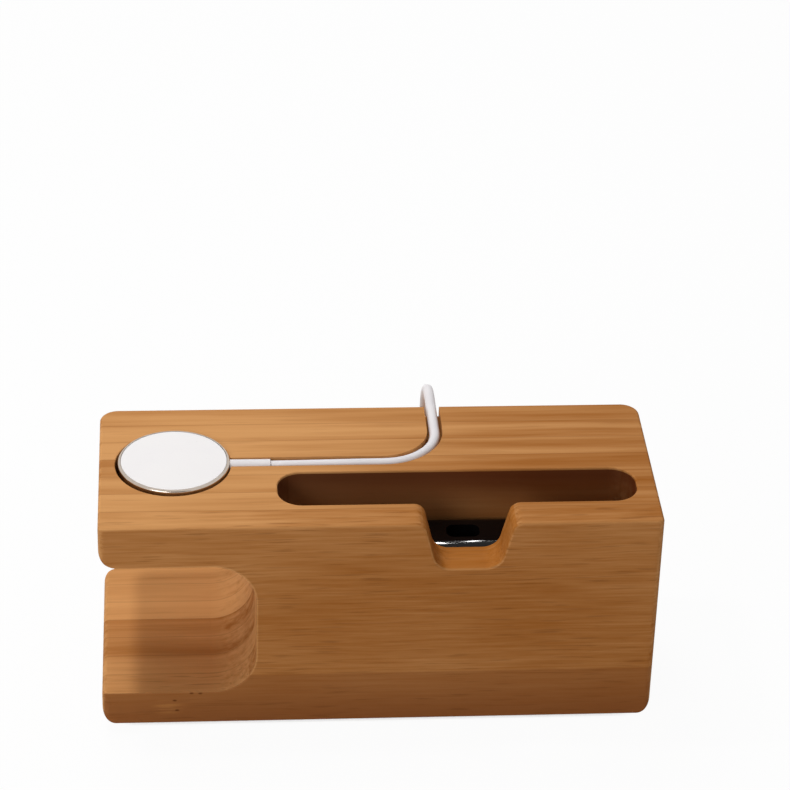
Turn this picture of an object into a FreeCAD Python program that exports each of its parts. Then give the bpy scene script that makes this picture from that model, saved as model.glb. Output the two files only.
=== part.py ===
"""A bamboo charging station: a glued bamboo body with a deck over an open shelf, a slot for a device,
a drop-in connector insert, and a charging puck in the deck with its lead.

Millimetres. +X runs along the body to the right, +Y to the back, +Z up. The origin is on the table,
under the middle of the body, and the body stands on four foot pads.
"""

import FreeCAD, Part
import math
import os
import re

Vector = FreeCAD.Vector
Rotation = FreeCAD.Rotation

# How far a cutting tool runs past the face that it enters.
OVERRUN = 5.0
# Distance under which a point counts as lying on a plane.
NEAR = 0.01

doc = FreeCAD.newDocument("charging_station")
sheet = doc.addObject("Spreadsheet::Sheet", "sizes")

SIZES = {
    # Body and its outer rounding
    "block_length": 140.0,
    "block_depth": 55.0,
    "block_height": 60.0,
    "stave_count": 7,
    "front_staves": 3,
    "front_stave_thickness": 7.857143,
    "base_corner": 5.0,
    "back_corner": 4.6,
    "front_corner": 1.8,
    "edge_round": 0.8,
    "base_edge": 1.0,
    # Open shelf under the deck, at the left
    "shelf_thickness": 10.0,
    "deck_thickness": 11.5,
    "gap_length": 39.0,
    "gap_corner": 11.0,
    "deck_nose": 4.7,
    "shelf_nose": 1.5,
    # Device slot and the thumb notch in its front wall
    "slot_length": 90.3,
    "slot_width": 14.8,
    "slot_depth": 28.0,
    "slot_corner": 6.2,
    "slot_end_wall": 5.1,
    "front_wall": 9.8,
    "mouth_round": 0.4,
    "notch_from_right": 48.4,
    "notch_floor_width": 15.6,
    "notch_mouth_width": 22.2,
    "notch_depth": 13.3,
    "notch_shoulder": 3.0,
    "notch_corner": 4.5,
    # Passage of a charging cable from the slot floor to the back edge
    "cable_hole_length": 16.0,
    "cable_hole_width": 9.0,
    "cable_hole_corner": 4.0,
    "channel_width": 10.0,
    "channel_height": 14.0,
    # Connector insert
    "insert_length": 40.0,
    "insert_gap": 0.3,
    "insert_corner": 6.0,
    "insert_drop": 0.3,
    "insert_round": 3.0,
    "aperture_length": 8.4,
    "aperture_width": 5.4,
    "aperture_corner": 2.0,
    # Foot pads
    "pad_height": 1.5,
    "pad_diameter": 10.0,
    "pad_inset": 11.0,
    "pad_round": 0.4,
    # Charging puck and its recess
    "puck_from_left": 18.85,
    "puck_behind_middle": 2.05,
    "puck_diameter": 28.3,
    "puck_height": 7.0,
    "puck_proud": 0.85,
    "puck_base_round": 1.5,
    "puck_rim_round": 0.6,
    "recess_gap": 0.51,
    "recess_left_of_puck": 0.2,
    "recess_before_puck": 0.3,
    "recess_chamfer": 0.15,
    "cup_wall": 0.7,
    "cup_floor": 0.6,
    "face_ledge": 0.5,
    "face_thickness": 1.0,
    "face_gap": 0.05,
    "face_round": 0.2,
    "board_ledge": 0.8,
    "board_space": 1.0,
    "board_thickness": 0.8,
    "inner_gap": 0.2,
    "chip_side": 4.0,
    "chip_height": 0.7,
    "ferrite_thickness": 0.8,
    "winding_outer": 23.2,
    "winding_inner": 12.4,
    "winding_thickness": 1.6,
    "magnet_diameter": 11.2,
    # Lead, its sleeve and its groove
    "lead_diameter": 2.7,
    "lead_depth": 1.3,
    "sleeve_length": 10.2,
    "sleeve_diameter": 3.6,
    "sleeve_end_diameter": 3.5,
    "spigot_diameter": 1.8,
    "spigot_reach": 0.4,
    "spigot_gap": 0.05,
    "groove_width": 4.0,
    "groove_depth": 3.3,
    "groove_turn": 14.0,
    "groove_from_right": 54.0,
    # Put-away coil of the lead and its tie
    "coil_turns": 7.625,
    "coil_pitch": 3.25,
    "coil_inner_radius": 10.0,
    "tie_thickness": 0.5,
    "tie_width": 5.0,
    "tie_gap": 0.2,
    "tie_round": 1.2,
    # Plug
    "boot_length": 12.0,
    "boot_diameter": 5.6,
    "boot_end_diameter": 3.6,
    "overmould_length": 20.0,
    "overmould_width": 15.5,
    "overmould_height": 8.0,
    "overmould_round": 2.2,
    "shell_length": 13.0,
    "shell_width": 12.0,
    "shell_height": 4.5,
    "shell_wall": 0.35,
    "shell_window": 2.2,
    "window_spacing": 5.0,
    "window_setback": 5.2,
    "tongue_length": 11.6,
    "tongue_height": 1.9,
    "tongue_gap": 0.1,
    "contact_count": 4,
    "contact_width": 1.2,
    "contact_length": 8.0,
    "contact_height": 0.15,
    "contact_pitch": 2.4,
}

for row, (alias, number) in enumerate(SIZES.items(), 1):
    sheet.set(f"A{row}", alias)
    sheet.set(f"B{row}", str(number))
    sheet.setAlias(f"B{row}", alias)
doc.recompute()


def value(alias):
    """The number in one cell of the sheet."""
    return float(sheet.get(alias))


def on_sheet(text):
    """An expression in which each word is a cell of the sheet."""
    return re.sub(r"[a-z]\w*", lambda word: "sizes." + word.group(), str(text))


def worked_out(text):
    """The number that an expression on the sheet comes to."""
    return float(sheet.evalExpression(on_sheet(text)))


def bind(item, **expressions):
    """Ties properties of an object to the sheet."""
    for name, text in expressions.items():
        item.setExpression(name, on_sheet(text))
    return item


def place(item, x, y, z, turn=None):
    """Ties an object's place to the sheet."""
    item.Placement = FreeCAD.Placement(Vector(), turn or Rotation())
    for axis, text in zip("xyz", (x, y, z)):
        item.setExpression(f"Placement.Base.{axis}", on_sheet(text))
    return item


def box(name, length, width, height, x, y, z):
    """A box whose corner of least X, Y and Z is at the place given."""
    item = bind(doc.addObject("Part::Box", name), Length=length, Width=width, Height=height)
    return place(item, x, y, z)


def cylinder(name, radius, height, x, y, z, turn=None):
    """A cylinder whose lower end is centred on the place given."""
    item = bind(doc.addObject("Part::Cylinder", name), Radius=radius, Height=height)
    return place(item, x, y, z, turn)


def flared_block(name, floor_width, mouth_width, depth, height, x, y, z):
    """A block that widens upwards along X, with the middle of its floor's back edge at the place given."""
    item = doc.addObject("Part::Wedge", name)
    bind(item, Xmin=f"-({floor_width}) / 2", Xmax=f"({floor_width}) / 2", Ymin="0", Ymax=height)
    bind(item, X2min=f"-({mouth_width}) / 2", X2max=f"({mouth_width}) / 2")
    bind(item, Zmin="0", Zmax=depth, Z2min="0", Z2max=depth)
    return place(item, x, y, z, Y_TO_Z)


def cut(name, base, *tools):
    """The base with the tools taken out of it."""
    item = doc.addObject("Part::Cut", name)
    item.Base = base
    item.Tool = tools[0] if len(tools) == 1 else fuse(name + "_tools", *tools)
    return item


def fuse(name, *shapes):
    """Several shapes joined."""
    item = doc.addObject("Part::MultiFuse", name)
    item.Shapes = list(shapes)
    return item


def common(name, *shapes):
    """What several shapes share."""
    item = doc.addObject("Part::MultiCommon", name)
    item.Shapes = list(shapes)
    return item


def rounded(name, base, radius_of):
    """The base with a round on each edge for which radius_of gives a radius."""
    doc.recompute()
    item = doc.addObject("Part::Fillet", name)
    item.Base = base
    chosen = [(number, radius_of(edge)) for number, edge in enumerate(base.Shape.Edges, 1)]
    item.Edges = [(number, radius, radius) for number, radius in chosen if radius]
    return item


def points_of(edge):
    """A few points along an edge, its ends among them."""
    return edge.discretize(5)


def runs_along(edge, axis):
    """Whether an edge is straight and parallel to an axis."""
    first, last = edge.Vertexes[0].Point, edge.Vertexes[-1].Point
    step = (last - first) if edge.Length > NEAR else Vector()
    straight = abs(step.Length - edge.Length) < NEAR
    return straight and abs(abs(step.dot(axis)) - edge.Length) < NEAR


ALONG_X = Vector(1, 0, 0)
ALONG_Y = Vector(0, 1, 0)
ALONG_Z = Vector(0, 0, 1)
Z_TO_X = Rotation(ALONG_Y, 90)
Z_TO_MINUS_X = Rotation(ALONG_Y, -90)
Z_TO_Y = Rotation(ALONG_X, -90)
Y_TO_Z = Rotation(ALONG_X, 90)

# Places that several pieces share, as expressions on the sheet.
LEFT = "-block_length / 2"
RIGHT = "block_length / 2"
FRONT = "-block_depth / 2"
BACK = "block_depth / 2"
BASE = "pad_height"
TOP = "pad_height + block_height"
SHELF_TOP = "pad_height + shelf_thickness"
DECK_UNDERSIDE = "pad_height + block_height - deck_thickness"
SLOT_LEFT = "block_length / 2 - slot_end_wall - slot_length"
SLOT_FRONT = "-block_depth / 2 + front_wall"
SLOT_FLOOR = "pad_height + block_height - slot_depth"
SLOT_MIDDLE_Y = "-block_depth / 2 + front_wall + slot_width / 2"
NOTCH_X = "block_length / 2 - notch_from_right"
NOTCH_FLOOR = "pad_height + block_height - notch_depth"
PUCK_X = "-block_length / 2 + puck_from_left"
PUCK_Y = "puck_behind_middle"
RECESS_X = "-block_length / 2 + puck_from_left - recess_left_of_puck"
RECESS_Y = "puck_behind_middle - recess_before_puck"
PUCK_BASE = "pad_height + block_height + puck_proud - puck_height"
LEAD_Z = "pad_height + block_height - lead_depth"
GROOVE_FLOOR = "pad_height + block_height - groove_depth"
GROOVE_X = "block_length / 2 - groove_from_right"


def corner_cutter(name, radius, x, z, into_x, into_z, y, width):
    """What is taken off a corner along Y to round it. The corner is at x, z, and the material lies
    towards into_x and into_z, each 1 or -1."""
    low_x = x if into_x > 0 else f"{x} - {radius}"
    low_z = z if into_z > 0 else f"{z} - {radius}"
    square = box(name + "_square", radius, width, radius, low_x, y, low_z)
    middle_x = f"{x} + {into_x} * {radius}"
    middle_z = f"{z} + {into_z} * {radius}"
    bar = cylinder(name + "_bar", radius, width, middle_x, y, middle_z, Z_TO_Y)
    return cut(name, square, bar)


def body_blank():
    """The body's outside: a side profile, a plan and an end profile, each with its rounded corners."""
    size = ("block_length", "block_depth", "block_height", LEFT, FRONT, BASE)
    base = worked_out(BASE)

    def side_radius(edge):
        low = edge.CenterOfMass.z < base + NEAR
        return value("base_corner") if runs_along(edge, ALONG_Y) and low else None

    def plan_radius(edge):
        if not runs_along(edge, ALONG_Z):
            return None
        return value("back_corner") if edge.CenterOfMass.y > 0 else value("front_corner")

    def end_radius(edge):
        low = edge.CenterOfMass.z < base + NEAR
        return value("base_edge") if runs_along(edge, ALONG_X) and low else None

    side = rounded("side_profile", box("side_box", *size), side_radius)
    plan = rounded("plan_profile", box("plan_box", *size), plan_radius)
    end = rounded("end_profile", box("end_box", *size), end_radius)
    return common("body_blank", side, plan, end)


def shelf_gap():
    """The open gap between deck and shelf, with the noses of both."""
    across = f"block_depth + {2 * OVERRUN}"
    start_y = f"{FRONT} - {OVERRUN}"
    height = "block_height - deck_thickness - shelf_thickness"
    gap_box = box(
        "gap_box", f"gap_length + {OVERRUN}", across, height, f"{LEFT} - {OVERRUN}", start_y, SHELF_TOP
    )
    end_x = worked_out(f"{LEFT} + gap_length")

    def end_radius(edge):
        at_end = abs(edge.CenterOfMass.x - end_x) < NEAR
        return value("gap_corner") if runs_along(edge, ALONG_Y) and at_end else None

    gap = rounded("gap", gap_box, end_radius)
    deck_nose = corner_cutter("deck_nose_cut", "deck_nose", LEFT, DECK_UNDERSIDE, 1, 1, start_y, across)
    shelf_nose = corner_cutter("shelf_nose_cut", "shelf_nose", LEFT, SHELF_TOP, 1, -1, start_y, across)
    return gap, deck_nose, shelf_nose


def upright_rounded(name, base, corner):
    """A box with its upright edges rounded, by no more than its width leaves room for."""
    doc.recompute()
    outline = base.Shape.BoundBox
    radius = min(value(corner), min(outline.XLength, outline.YLength) / 2 - NEAR)
    return rounded(name, base, lambda edge: radius if runs_along(edge, ALONG_Z) else None)


def device_slot():
    """The slot and the notch in its front wall."""
    slot_box = box(
        "slot_box", "slot_length", "slot_width", f"slot_depth + {OVERRUN}", SLOT_LEFT, SLOT_FRONT, SLOT_FLOOR
    )
    slot = upright_rounded("slot", slot_box, "slot_corner")

    across = f"front_wall + slot_width / 2 + {OVERRUN}"
    height = f"notch_depth + {OVERRUN}"
    flare = f"(notch_mouth_width - notch_floor_width) * ({height}) / notch_depth"
    notch_block = flared_block(
        "notch_block",
        "notch_floor_width",
        f"notch_floor_width + {flare}",
        across,
        height,
        NOTCH_X,
        SLOT_MIDDLE_Y,
        NOTCH_FLOOR,
    )
    floor = worked_out(NOTCH_FLOOR)

    def floor_radius(edge):
        low = edge.CenterOfMass.z < floor + NEAR
        return value("notch_corner") if runs_along(edge, ALONG_Y) and low else None

    return slot, rounded("notch", notch_block, floor_radius)


def shoulder_radius(edge):
    """The round where the notch's sides meet the top."""
    middle = edge.CenterOfMass
    off_mouth = abs(abs(middle.x - worked_out(NOTCH_X)) - value("notch_mouth_width") / 2)
    at_mouth = off_mouth < NEAR and abs(middle.z - worked_out(TOP)) < NEAR
    return value("notch_shoulder") if runs_along(edge, ALONG_Y) and at_mouth else None


def cable_passage():
    """The hole in the slot floor and the channel under the body to its back edge."""
    hole_height = f"block_height - slot_depth - channel_height + {2 * OVERRUN}"
    hole_box = box(
        "cable_hole_box",
        "cable_hole_length",
        "cable_hole_width",
        hole_height,
        f"{NOTCH_X} - cable_hole_length / 2",
        f"{SLOT_MIDDLE_Y} - cable_hole_width / 2",
        f"{BASE} + channel_height - {OVERRUN}",
    )
    hole = upright_rounded("cable_hole", hole_box, "cable_hole_corner")
    channel = box(
        "cable_channel",
        "channel_width",
        f"block_depth - front_wall - slot_width / 2 + cable_hole_width / 2 + {OVERRUN}",
        f"channel_height + {OVERRUN}",
        f"{NOTCH_X} - channel_width / 2",
        f"{SLOT_MIDDLE_Y} - cable_hole_width / 2",
        f"{BASE} - {OVERRUN}",
    )
    return hole, channel


def eased_edge_radius(edge):
    """The round on the top's outer edge, with the notch's front edge, and on the slot's mouth, with the
    notch's back edge."""
    top, front, wall = worked_out(TOP), worked_out(FRONT), worked_out(SLOT_FRONT)
    notch_x, notch_floor = worked_out(NOTCH_X), worked_out(NOTCH_FLOOR)
    notch_reach = value("notch_mouth_width") / 2 + value("notch_shoulder")
    slot_left, slot_back = worked_out(SLOT_LEFT), wall + value("slot_width")
    slot_right = slot_left + value("slot_length")
    points = points_of(edge)
    on_top = all(abs(p.z - top) < NEAR for p in points)
    on_front = all(abs(p.y - front) < NEAR for p in points)
    on_wall = all(abs(p.y - wall) < NEAR for p in points)
    in_notch = all(abs(p.x - notch_x) < notch_reach + NEAR and p.z > notch_floor - NEAR for p in points)
    in_slot = all(
        slot_left - NEAR < p.x < slot_right + NEAR and wall - NEAR < p.y < slot_back + NEAR for p in points
    )
    if (on_top and in_slot) or (on_wall and in_notch):
        return value("mouth_round")
    if (on_top and not in_notch) or (on_front and in_notch):
        return value("edge_round")
    return None


def puck_seat():
    """The puck's recess with its chamfered mouth, and the groove for the lead."""
    depth = "puck_height - puck_proud"
    radius = "puck_diameter / 2 + recess_gap"
    recess = cylinder("recess", radius, f"{depth} + {OVERRUN}", RECESS_X, RECESS_Y, PUCK_BASE)
    mouth = doc.addObject("Part::Cone", "recess_mouth")
    bind(mouth, Radius1=radius, Radius2=f"{radius} + recess_chamfer", Height="recess_chamfer")
    place(mouth, RECESS_X, RECESS_Y, f"{TOP} - recess_chamfer")

    height = f"groove_depth + {OVERRUN}"
    turn_x = f"{GROOVE_X} - groove_turn"
    turn_y = f"{PUCK_Y} + groove_turn"
    along = box(
        "groove_along",
        f"{turn_x} - ({PUCK_X})",
        "groove_width",
        height,
        PUCK_X,
        f"{PUCK_Y} - groove_width / 2",
        GROOVE_FLOOR,
    )
    quarter = Rotation(ALONG_Z, -90)
    outer_radius = "groove_turn + groove_width / 2"
    outer = cylinder("groove_turn_outer", outer_radius, height, turn_x, turn_y, GROOVE_FLOOR, quarter)
    inner_radius = "groove_turn - groove_width / 2"
    inner = cylinder("groove_turn_inner", inner_radius, height, turn_x, turn_y, GROOVE_FLOOR, quarter)
    outer.Angle = 90
    turn = cut("groove_bend", outer, inner)
    out = box(
        "groove_out",
        "groove_width",
        f"{BACK} - ({turn_y}) + {OVERRUN}",
        height,
        f"{GROOVE_X} - groove_width / 2",
        turn_y,
        GROOVE_FLOOR,
    )
    return recess, mouth, along, turn, out


def bamboo_staves():
    """The body, and the staves that it is glued up from, front to back. The front ones, where the
    slot is, have a thickness of their own, and the others share the rest of the depth."""
    milled = cut("milled_body", body_blank(), *shelf_gap(), *device_slot(), *cable_passage())
    shouldered = rounded("shouldered_body", milled, shoulder_radius)
    eased = rounded("eased_body", shouldered, eased_edge_radius)
    whole = cut("bamboo_body", eased, *puck_seat())
    count, in_front = int(value("stave_count")), int(value("front_staves"))
    share = "(block_depth - front_staves * front_stave_thickness) / (stave_count - front_staves)"
    front_lines = [f"{FRONT} + {line} * front_stave_thickness" for line in range(1, in_front + 1)]
    back_lines = [f"{BACK} - {count - line} * {share}" for line in range(in_front + 1, count)]
    sides = [FRONT, *front_lines, *back_lines, BACK]
    staves = []
    for number, (start_y, end_y) in enumerate(zip(sides, sides[1:]), 1):
        slab = box(
            f"stave_slab_{number}",
            "block_length",
            f"{end_y} - ({start_y})",
            "block_height",
            LEFT,
            start_y,
            BASE,
        )
        staves.append((f"bamboo_stave_{number}", common(f"stave_{number}", whole, slab)))
    return staves


def connector_insert():
    """The block that lies on the slot floor and holds a charging plug upright in its aperture."""
    height = "slot_depth - notch_depth - insert_drop"
    width = "slot_width - 2 * insert_gap"
    blank = box(
        "insert_box",
        "insert_length",
        width,
        height,
        f"{NOTCH_X} - insert_length / 2",
        f"{SLOT_FRONT} + insert_gap",
        SLOT_FLOOR,
    )
    upright = upright_rounded("insert_upright", blank, "insert_corner")
    top = worked_out(f"{SLOT_FLOOR} + {height}")

    def rim_radius(edge):
        return value("insert_round") if all(abs(p.z - top) < NEAR for p in points_of(edge)) else None

    rim = rounded("insert_rim", upright, rim_radius)
    aperture_box = box(
        "aperture_box",
        "aperture_length",
        "aperture_width",
        f"{height} + {2 * OVERRUN}",
        f"{NOTCH_X} - aperture_length / 2",
        f"{SLOT_MIDDLE_Y} - aperture_width / 2",
        f"{SLOT_FLOOR} - {OVERRUN}",
    )
    aperture = upright_rounded("aperture", aperture_box, "aperture_corner")
    return [("connector_insert", cut("insert", rim, aperture))]


def foot_pads():
    """Four round pads under the body's corners."""
    pads = []
    for row, y in (("front", f"{FRONT} + pad_inset"), ("back", f"{BACK} - pad_inset")):
        for side, x in (("left", f"{LEFT} + pad_inset"), ("right", f"{RIGHT} - pad_inset")):
            disc = cylinder(f"pad_disc_{row}_{side}", "pad_diameter / 2", "pad_height", x, y, "0")

            def foot_radius(edge):
                return value("pad_round") if all(p.z < NEAR for p in points_of(edge)) else None

            pads.append((f"foot_pad_{row}_{side}", rounded(f"pad_{row}_{side}", disc, foot_radius)))
    return pads


def charging_puck():
    """The puck: a metal cup, a face on a ledge in its mouth, and what lies between them."""
    mouth_radius = "puck_diameter / 2 - cup_wall"
    bore_radius = f"{mouth_radius} - face_ledge"
    well_radius = f"{bore_radius} - board_ledge"
    board_z = f"{PUCK_BASE} + cup_floor + board_space"
    face_z = f"{PUCK_BASE} + puck_height - face_thickness"
    ferrite_z = f"{board_z} + board_thickness"
    winding_z = f"{ferrite_z} + ferrite_thickness"
    base = worked_out(PUCK_BASE)
    crown = base + value("puck_height")

    def disc(name, radius, height, z):
        return cylinder(name, radius, height, PUCK_X, PUCK_Y, z)

    def cup_radius(edge):
        level = edge.CenterOfMass.z
        if edge.Closed and abs(level - base) < NEAR:
            return value("puck_base_round")
        return value("puck_rim_round") if edge.Closed and abs(level - crown) < NEAR else None

    def face_radius(edge):
        at_crown = edge.Closed and abs(edge.CenterOfMass.z - crown) < NEAR
        return value("face_round") if at_crown else None

    cup_disc = disc("cup_disc", "puck_diameter / 2", "puck_height", PUCK_BASE)
    outside = rounded("cup_outside", cup_disc, cup_radius)
    hole_radius = "spigot_diameter / 2 + spigot_gap"
    wall_hole = cylinder("cup_wall_hole", hole_radius, "puck_diameter", PUCK_X, PUCK_Y, LEAD_Z, Z_TO_X)
    cup = cut(
        "cup",
        outside,
        disc("cup_well", well_radius, "puck_height", f"{PUCK_BASE} + cup_floor"),
        disc("cup_bore", bore_radius, "puck_height", board_z),
        disc("cup_mouth", mouth_radius, "puck_height", face_z),
        wall_hole,
    )
    face_disc = disc("face_disc", f"{mouth_radius} - face_gap", "face_thickness", face_z)
    face = rounded("face", face_disc, face_radius)

    plate = disc("board_plate", f"{bore_radius} - inner_gap", "board_thickness", board_z)
    chips = []
    for name, step in (("left", -1), ("right", 1)):
        chips.append(
            box(
                f"chip_{name}",
                "chip_side",
                "chip_side",
                "chip_height",
                f"{PUCK_X} + {step} * chip_side - chip_side / 2",
                f"{PUCK_Y} - chip_side / 2",
                f"{board_z} - chip_height",
            )
        )
    board = fuse("board", plate, *chips)
    ferrite = disc("ferrite", f"{bore_radius} - inner_gap", "ferrite_thickness", ferrite_z)
    winding = cut(
        "winding",
        disc("winding_outside", "winding_outer / 2", "winding_thickness", winding_z),
        disc("winding_inside", "winding_inner / 2", "winding_thickness", winding_z),
    )
    magnet_height = f"{face_z} - ({winding_z})"
    magnet = disc("magnet", "magnet_diameter / 2", magnet_height, winding_z)

    wall_x = f"{PUCK_X} + puck_diameter / 2"
    sleeve = doc.addObject("Part::Cone", "sleeve")
    bind(sleeve, Radius1="sleeve_diameter / 2", Radius2="sleeve_end_diameter / 2", Height="sleeve_length")
    place(sleeve, wall_x, PUCK_Y, LEAD_Z, Z_TO_X)
    inside = "cup_wall + face_ledge + spigot_reach"
    spigot_x = f"{wall_x} - ({inside})"
    spigot_length = f"{inside} + sleeve_length / 2"
    spigot = cylinder("spigot", "spigot_diameter / 2", spigot_length, spigot_x, PUCK_Y, LEAD_Z, Z_TO_X)
    return [
        ("puck_cup", cup),
        ("puck_face", face),
        ("puck_board", board),
        ("puck_ferrite", ferrite),
        ("puck_coil", winding),
        ("puck_magnet", magnet),
        ("strain_relief", fuse("relief", sleeve, spigot)),
    ]


def arc_through(start, leaving, finish):
    """The arc that leaves start along a direction and ends at finish."""
    chord = finish - start
    along = Vector(chord).normalize()
    aside = leaving - along * leaving.dot(along)
    half_turn = math.atan2(aside.Length, leaving.dot(along))
    if half_turn < 1e-7:
        return Part.LineSegment(start, finish).toShape()
    bulge = aside.normalize() * (chord.Length / 2 * math.tan(half_turn / 2))
    return Part.Arc(start, start + chord / 2 + bulge, finish).toShape()


def biarc(start, leaving, finish, arriving):
    """Two arcs that join two points with a direction at each."""
    span = finish - start
    both = leaving + arriving
    apart = 2 * (1 - leaving.dot(arriving))
    reach = (math.sqrt(span.dot(both) ** 2 + apart * span.dot(span)) - span.dot(both)) / apart
    middle = (start + leaving * reach + finish - arriving * reach) / 2
    back = arc_through(finish, arriving * -1, middle)
    return [arc_through(start, leaving, middle), back]


def rounded_route(name, points):
    """Straight runs through a cord's points, joined by arcs as large as the runs allow."""
    edges = []
    radii = []
    last = points[0]
    for before, corner, after in zip(points, points[1:], points[2:]):
        arriving = (corner - before).normalize()
        leaving = (after - corner).normalize()
        turn = arriving.getAngle(leaving)
        reach = 0.45 * min((corner - before).Length, (after - corner).Length)
        radii.append(reach / math.tan(turn / 2))
        start, finish = corner - arriving * reach, corner + leaving * reach
        edges.append(Part.LineSegment(last, start).toShape())
        edges.append(arc_through(start, arriving, finish))
        last = finish
    edges.append(Part.LineSegment(last, points[-1]).toShape())
    print(name, "bend radii", [round(radius, 1) for radius in radii])
    return Part.Wire(edges)


def tube(name, route):
    """A round tube of the lead's diameter along a route, with its volume compared."""
    radius = value("lead_diameter") / 2
    start = route.Edges[0]
    begin = start.Vertexes[0].Point
    ring = Part.Wire(Part.makeCircle(radius, begin, start.tangentAt(start.FirstParameter)))
    solid = route.makePipeShell([ring], True, False)
    expected = math.pi * radius**2 * route.Length
    print(name, "length", round(route.Length, 1), "volume ratio", round(solid.Volume / expected, 4))
    item = doc.addObject("Part::Feature", name + "_tube")
    item.Shape = solid
    return item


# The lead's free run, from the back edge over it and down to the table.
FREE_RUN = [
    (16.0, 27.5, 60.2),
    (16.0, 39.5, 60.2),
    (16.2, 48.7, 51.6),
    (16.4, 49.2, 37.6),
    (16.3, 46.0, 24.0),
    (16.0, 47.2, 11.0),
    (16.0, 57.0, 2.05),
    (16.0, 69.0, 2.05),
]
# Steps of the lead's tail, each from the end of the coil.
TAIL_RUN = [
    (0.0, 0.0, 0.0),
    (-7.5, -7.5, 0.0),
    (-18.0, -12.9, -0.7),
    (-29.7, -15.4, -1.3),
    (-41.2, -15.4, -1.3),
]
# Turn over which the coil's spiral reverses, and knots of its route in each turn.
REVERSAL = 0.8
KNOTS_PER_TURN = 4


class LeadCoil:
    """The put-away length of the lead: it spirals in on the table, climbs a layer in the half turn where
    the spiral reverses, and spirals out again on top."""

    def __init__(self, start):
        self.wire = value("lead_diameter")
        self.pitch = value("coil_pitch")
        self.span = math.pi * value("coil_turns")
        self.start = start
        self.low = start.z
        entry = start + ALONG_Y * self.wire
        self.middle = entry + ALONG_X * self.radius(self.span)

    def radius(self, turned):
        """Radius at an angle counted from the middle of the coil's length."""
        swing = math.hypot(turned, REVERSAL) - REVERSAL
        return value("coil_inner_radius") + self.pitch / (2 * math.pi) * swing

    def point(self, turned):
        """A point of the route."""
        angle = math.pi - (turned + self.span)
        share = min(max(turned / math.pi + 0.5, 0.0), 1.0)
        lift = self.pitch * share**2 * (3 - 2 * share)
        reach = self.radius(turned)
        return self.middle + Vector(reach * math.cos(angle), reach * math.sin(angle), lift)

    def direction(self, turned):
        """The route's direction, square to the radius at the two ends."""
        if abs(abs(turned) - self.span) < 1e-9:
            angle = math.pi - (turned + self.span)
            return Vector(math.sin(angle), -math.cos(angle), 0)
        step = 1e-4
        return (self.point(turned + step) - self.point(turned - step)).normalize()

    def route(self):
        """The route as biarcs, with a straight end of one diameter at each end."""
        count = round(value("coil_turns") * KNOTS_PER_TURN)
        knots = [-self.span + 2 * self.span * number / count for number in range(count + 1)]
        points = [self.point(knot) for knot in knots]
        ways = [self.direction(knot) for knot in knots]
        edges = [Part.LineSegment(self.start, points[0]).toShape()]
        for number in range(count):
            edges += biarc(points[number], ways[number], points[number + 1], ways[number + 1])
        edges.append(Part.LineSegment(points[-1], self.finish()).toShape())
        return Part.Wire(Part.sortEdges(edges)[0])

    def finish(self):
        """The end of the straight stretch that leaves the coil."""
        return self.point(self.span) + self.direction(self.span) * self.wire

    def least_gap(self, route):
        """The least distance between turns of the route, less the wire's diameter."""
        points = route.discretize(Distance=self.wire / 4)
        beside = round(math.pi * value("coil_inner_radius") / (self.wire / 4))
        least = min(
            (points[first] - points[second]).Length
            for first in range(len(points))
            for second in range(first + beside, len(points))
        )
        return least - self.wire


def lead():
    """The lead, from its sleeve along the groove, over the back edge, through its coil to the plug."""
    sleeve_end = Vector(
        worked_out(f"{PUCK_X} + puck_diameter / 2 + sleeve_length"), worked_out(PUCK_Y), worked_out(LEAD_Z)
    )
    turn = value("groove_turn")
    exit_x = worked_out(GROOVE_X)
    bend_start = Vector(exit_x - turn, sleeve_end.y, sleeve_end.z)
    bend_end = Vector(exit_x, sleeve_end.y + turn, sleeve_end.z)
    back_edge = Vector(exit_x, worked_out(BACK), sleeve_end.z)
    in_groove = Part.Wire(
        [
            Part.LineSegment(sleeve_end, bend_start).toShape(),
            arc_through(bend_start, ALONG_X, bend_end),
            Part.LineSegment(bend_end, back_edge).toShape(),
        ]
    )
    free_points = [Vector(*point) for point in FREE_RUN]
    coil = LeadCoil(free_points[-1])
    wound = coil.route()
    print("lead_coil least gap", round(coil.least_gap(wound), 2))
    tail_points = [coil.finish() + Vector(*step) for step in TAIL_RUN]
    pieces = [
        ("lead_groove_run", tube("groove_run", in_groove)),
        ("lead_free_run", tube("free_run", rounded_route("free_run", free_points))),
        ("lead_coil", tube("coil", wound)),
        ("lead_tail", tube("tail", rounded_route("tail", tail_points))),
    ]
    return pieces + coil_tie(coil) + plug(tail_points[-1])


def coil_tie(coil):
    """A flat band round the coil's turns, at the side away from where the lead comes and goes."""
    wire = value("lead_diameter")
    gap = value("tie_gap")
    wall = value("tie_thickness")
    across = value("tie_width")
    opposite = [
        coil.radius(-coil.span + math.pi * (1 + 2 * number)) for number in range(round(value("coil_turns")))
    ]
    near = min(opposite) - coil.pitch / 4 - wire / 2 - gap
    far = coil.radius(coil.span - math.pi / 4) + wire / 2 + gap
    low = coil.low - wire / 2 - gap
    height = wire + coil.pitch + 2 * gap
    start = coil.middle + Vector(near, -across / 2, low - coil.low)
    outside = Part.makeBox(
        far - near + 2 * wall, across, height + 2 * wall, start - Vector(wall, 0, wall)
    )
    lengthwise = [edge for edge in outside.Edges if runs_along(edge, ALONG_Y)]
    outside = outside.makeFillet(value("tie_round"), lengthwise)
    inside = Part.makeBox(far - near, across, height, start)
    lengthwise = [edge for edge in inside.Edges if runs_along(edge, ALONG_Y)]
    inside = inside.makeFillet(value("tie_round") - wall, lengthwise)
    item = doc.addObject("Part::Feature", "tie")
    item.Shape = outside.cut(inside)
    return [("coil_tie", item)]


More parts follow.
